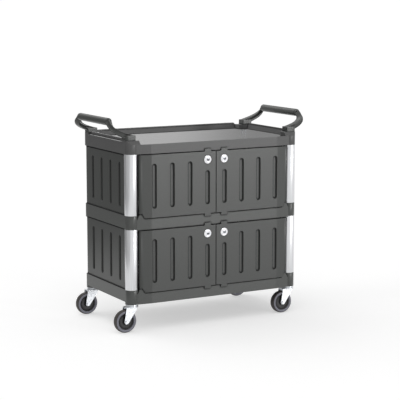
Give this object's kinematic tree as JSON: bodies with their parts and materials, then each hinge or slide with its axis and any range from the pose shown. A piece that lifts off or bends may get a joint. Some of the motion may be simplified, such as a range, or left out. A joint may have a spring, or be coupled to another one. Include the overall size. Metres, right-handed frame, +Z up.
{
  "type": "dining cart",
  "caption": "Dark grey moulded service cart with a tray top, slotted door cupboards with cam locks, round aluminium posts, end handles and swivel casters.",
  "frame": {"origin": "on the floor under the middle of the cart", "axes": "+X along the cart's length to the right-hand handle, the doors face -Y, +Z up"},
  "size_m": [1.02, 0.5, 0.96],
  "materials": {
    "cart_plastic": "fine grain moulded, dark grey",
    "tray_plastic": "smooth moulded grey, glossy on the deck",
    "post_aluminium": "satin anodised tube",
    "lock_chrome": "polished",
    "zinc_steel": "bright zinc plated",
    "tyre_rubber": "grey rubber",
    "wheel_plastic": "black moulded"
  },
  "bodies": {
    "root": {"top_tray": "tray_plastic", "middle_shelf": "cart_plastic", "bottom_shelf": "cart_plastic", "post_lower_fl": "post_aluminium", "post_lower_fr": "post_aluminium", "post_lower_bl": "post_aluminium", "post_lower_br": "post_aluminium", "post_upper_fl": "post_aluminium", "post_upper_fr": "post_aluminium", "post_upper_bl": "post_aluminium", "post_upper_br": "post_aluminium", "handle_left": "cart_plastic", "handle_right": "cart_plastic", "handle_bolts": "zinc_steel", "panel_lower_left": "cart_plastic", "panel_lower_right": "cart_plastic", "panel_lower_back": "cart_plastic", "panel_upper_left": "cart_plastic", "panel_upper_right": "cart_plastic", "panel_upper_back": "cart_plastic", "panel_screws": "zinc_steel", "hinge_pins": "zinc_steel", "caster_stem_fl": "zinc_steel", "caster_stem_fr": "zinc_steel", "caster_stem_bl": "zinc_steel", "caster_stem_br": "zinc_steel", "stem_nuts": "zinc_steel"},
    "door_lower_left": {"door_lower_left": "cart_plastic", "lock_barrel_lower_left": "lock_chrome"},
    "lock_lower_left": {"lock_plug_lower_left": "lock_chrome", "lock_cam_lower_left": "zinc_steel"},
    "door_lower_right": {"door_lower_right": "cart_plastic", "lock_barrel_lower_right": "lock_chrome"},
    "lock_lower_right": {"lock_plug_lower_right": "lock_chrome", "lock_cam_lower_right": "zinc_steel"},
    "door_upper_left": {"door_upper_left": "cart_plastic", "lock_barrel_upper_left": "lock_chrome"},
    "lock_upper_left": {"lock_plug_upper_left": "lock_chrome", "lock_cam_upper_left": "zinc_steel"},
    "door_upper_right": {"door_upper_right": "cart_plastic", "lock_barrel_upper_right": "lock_chrome"},
    "lock_upper_right": {"lock_plug_upper_right": "lock_chrome", "lock_cam_upper_right": "zinc_steel"},
    "fork_fl": {"caster_fork_fl": "zinc_steel", "caster_axle_fl": "zinc_steel"},
    "wheel_fl": {"wheel_hub_fl": "wheel_plastic", "wheel_tyre_fl": "tyre_rubber"},
    "fork_fr": {"caster_fork_fr": "zinc_steel", "caster_axle_fr": "zinc_steel"},
    "wheel_fr": {"wheel_hub_fr": "wheel_plastic", "wheel_tyre_fr": "tyre_rubber"},
    "fork_bl": {"caster_fork_bl": "zinc_steel", "caster_axle_bl": "zinc_steel"},
    "wheel_bl": {"wheel_hub_bl": "wheel_plastic", "wheel_tyre_bl": "tyre_rubber"},
    "fork_br": {"caster_fork_br": "zinc_steel", "caster_axle_br": "zinc_steel"},
    "wheel_br": {"wheel_hub_br": "wheel_plastic", "wheel_tyre_br": "tyre_rubber"}
  },
  "joints": [
    {"name": "door_lower_left_swing", "type": "hinge", "parent": "root", "child": "door_lower_left", "pos_m": [-0.376, -0.231, 0.179], "axis": [0, 0, -1], "range_deg": [0, 120]},
    {"name": "lock_lower_left_turn", "type": "hinge", "parent": "door_lower_left", "child": "lock_lower_left", "pos_m": [-0.043, -0.246, 0.422], "axis": [0, 1, 0], "range_deg": [0, 90]},
    {"name": "door_lower_right_swing", "type": "hinge", "parent": "root", "child": "door_lower_right", "pos_m": [0.376, -0.231, 0.179], "axis": [0, 0, 1], "range_deg": [0, 120]},
    {"name": "lock_lower_right_turn", "type": "hinge", "parent": "door_lower_right", "child": "lock_lower_right", "pos_m": [0.043, -0.246, 0.422], "axis": [0, -1, 0], "range_deg": [0, 90]},
    {"name": "door_upper_left_swing", "type": "hinge", "parent": "root", "child": "door_upper_left", "pos_m": [-0.376, -0.231, 0.515], "axis": [0, 0, -1], "range_deg": [0, 120]},
    {"name": "lock_upper_left_turn", "type": "hinge", "parent": "door_upper_left", "child": "lock_upper_left", "pos_m": [-0.043, -0.246, 0.76], "axis": [0, 1, 0], "range_deg": [0, 90]},
    {"name": "door_upper_right_swing", "type": "hinge", "parent": "root", "child": "door_upper_right", "pos_m": [0.376, -0.231, 0.515], "axis": [0, 0, 1], "range_deg": [0, 120]},
    {"name": "lock_upper_right_turn", "type": "hinge", "parent": "door_upper_right", "child": "lock_upper_right", "pos_m": [0.043, -0.246, 0.76], "axis": [0, -1, 0], "range_deg": [0, 90]},
    {"name": "caster_fl_swivel", "type": "hinge", "parent": "root", "child": "fork_fl", "pos_m": [-0.411, -0.208, 0.116], "axis": [0, 0, 1], "continuous": true},
    {"name": "wheel_fl_roll", "type": "hinge", "parent": "fork_fl", "child": "wheel_fl", "pos_m": [-0.446, -0.208, 0.052], "axis": [0, 1, 0], "continuous": true},
    {"name": "caster_fr_swivel", "type": "hinge", "parent": "root", "child": "fork_fr", "pos_m": [0.411, -0.208, 0.116], "axis": [0, 0, 1], "continuous": true},
    {"name": "wheel_fr_roll", "type": "hinge", "parent": "fork_fr", "child": "wheel_fr", "pos_m": [0.376, -0.208, 0.052], "axis": [0, 1, 0], "continuous": true},
    {"name": "caster_bl_swivel", "type": "hinge", "parent": "root", "child": "fork_bl", "pos_m": [-0.411, 0.208, 0.116], "axis": [0, 0, 1], "continuous": true},
    {"name": "wheel_bl_roll", "type": "hinge", "parent": "fork_bl", "child": "wheel_bl", "pos_m": [-0.446, 0.208, 0.052], "axis": [0, 1, 0], "continuous": true},
    {"name": "caster_br_swivel", "type": "hinge", "parent": "root", "child": "fork_br", "pos_m": [0.411, 0.208, 0.116], "axis": [0, 0, 1], "continuous": true},
    {"name": "wheel_br_roll", "type": "hinge", "parent": "fork_br", "child": "wheel_br", "pos_m": [0.376, 0.208, 0.052], "axis": [0, 1, 0], "continuous": true}
  ]
}
